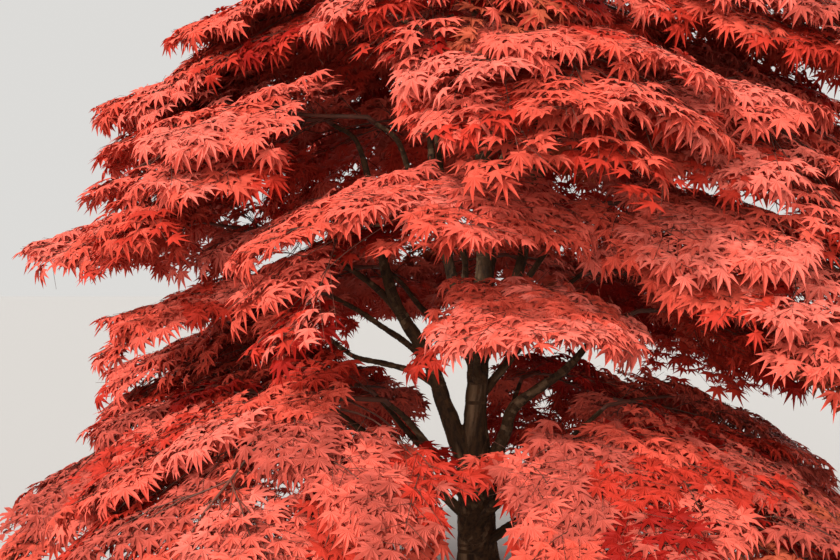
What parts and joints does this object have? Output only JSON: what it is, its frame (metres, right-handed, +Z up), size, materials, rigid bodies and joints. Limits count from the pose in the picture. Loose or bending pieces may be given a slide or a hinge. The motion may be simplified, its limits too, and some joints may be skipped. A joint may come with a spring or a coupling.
{
  "type": "japanese maple tree",
  "caption": "Red japanese maple tree with a forked trunk and a broad, layered crown of drooping pads of pointed leaves, rooted in level ground.",
  "frame": {"origin": "on the ground, at the middle of the trunk's flat cut", "axes": "+Z up along the trunk, front of the tree faces -Y, +X to the viewer's right"},
  "size_m": [3.8989, 3.7154, 3.1366],
  "materials": {
    "bark": "rough bark, grey-brown",
    "leaves": "matt, thin leaves, red to coral"
  },
  "bodies": {
    "root": {"trunk": "bark", "bough_crest_left": "bark", "bough_crest_right": "bark", "bough_upper_left": "bark", "bough_middle_right": "bark", "bough_skirt_left": "bark", "bough_skirt_front_left": "bark", "bough_skirt_front_right": "bark", "bough_skirt_right": "bark", "bough_skirt_back_right": "bark", "bough_skirt_back": "bark", "bough_skirt_back_left": "bark", "bough_middle_left": "bark", "bough_middle_low_left": "bark", "bough_middle_front_left": "bark", "bough_middle_front": "bark", "bough_middle_centre": "bark", "bough_middle_front_right": "bark", "bough_middle_back_right": "bark", "bough_middle_back": "bark", "bough_middle_back_left": "bark", "bough_upper_front_left": "bark", "bough_upper_front": "bark", "bough_upper_front_right": "bark", "bough_upper_right": "bark", "bough_upper_back_right": "bark", "bough_upper_back_left": "bark", "bough_crest_front": "bark", "bough_crest_back_right": "bark", "bough_crest_back": "bark", "foliage_crest_left": "leaves", "foliage_crest_right": "leaves", "foliage_upper_left": "leaves", "foliage_middle_right": "leaves", "foliage_skirt_left": "leaves", "foliage_skirt_front_left": "leaves", "foliage_skirt_front_right": "leaves", "foliage_skirt_right": "leaves", "foliage_skirt_back_right": "leaves", "foliage_skirt_back": "leaves", "foliage_skirt_back_left": "leaves", "foliage_middle_left": "leaves", "foliage_middle_low_left": "leaves", "foliage_middle_front_left": "leaves", "foliage_middle_front": "leaves", "foliage_middle_centre": "leaves", "foliage_middle_front_right": "leaves", "foliage_middle_back_right": "leaves", "foliage_middle_back": "leaves", "foliage_middle_back_left": "leaves", "foliage_upper_front_left": "leaves", "foliage_upper_front": "leaves", "foliage_upper_front_right": "leaves", "foliage_upper_right": "leaves", "foliage_upper_back_right": "leaves", "foliage_upper_back_left": "leaves", "foliage_crest_front": "leaves", "foliage_crest_back_right": "leaves", "foliage_crest_back": "leaves", "foliage_top_spread": "leaves"}
  },
  "joints": []
}
